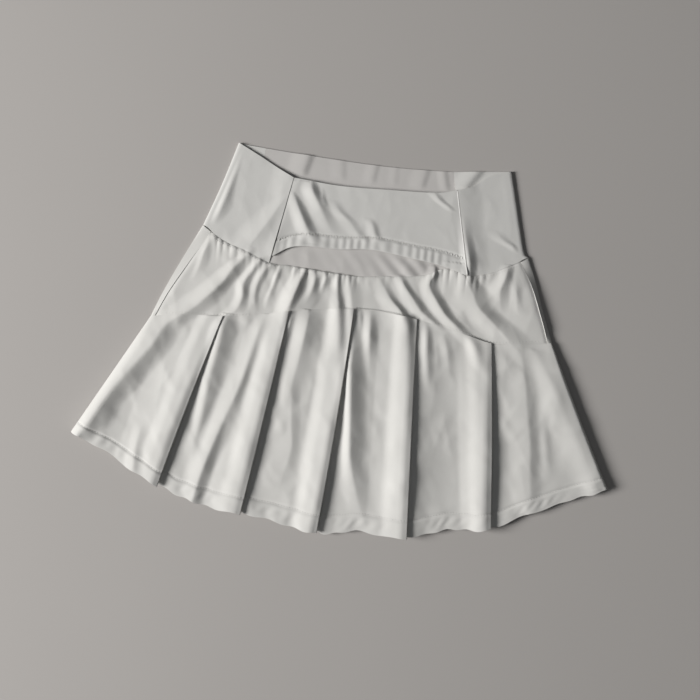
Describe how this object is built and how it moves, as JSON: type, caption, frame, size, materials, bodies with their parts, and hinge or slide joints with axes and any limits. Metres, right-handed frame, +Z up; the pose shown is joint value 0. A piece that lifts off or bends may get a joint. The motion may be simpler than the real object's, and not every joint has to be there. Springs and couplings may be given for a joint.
{
  "type": "tennis skirt laid flat",
  "caption": "Short flared sports skirt laid flat, with a shaped waistband, a loose front flap, a gathered yoke and a knife-pleated flounce.",
  "frame": {"origin": "middle of the laid skirt's box, on the surface that it lies on", "axes": "+X across the skirt to the viewer's right, +Y from the hem to the waist, +Z up through the cloth"},
  "size_m": [0.565, 0.3987, 0.0155],
  "materials": {
    "waist_cloth": "smooth matt stretch knit",
    "skirt_cloth": "light matt stretch knit"
  },
  "bodies": {
    "root": {"waist_side_left": "waist_cloth", "waist_side_right": "waist_cloth", "waist_back": "waist_cloth", "waist_under": "waist_cloth", "waist_flap": "waist_cloth", "yoke_back": "skirt_cloth", "yoke_front": "skirt_cloth", "skirt_back": "skirt_cloth", "skirt_front": "skirt_cloth"}
  },
  "joints": []
}
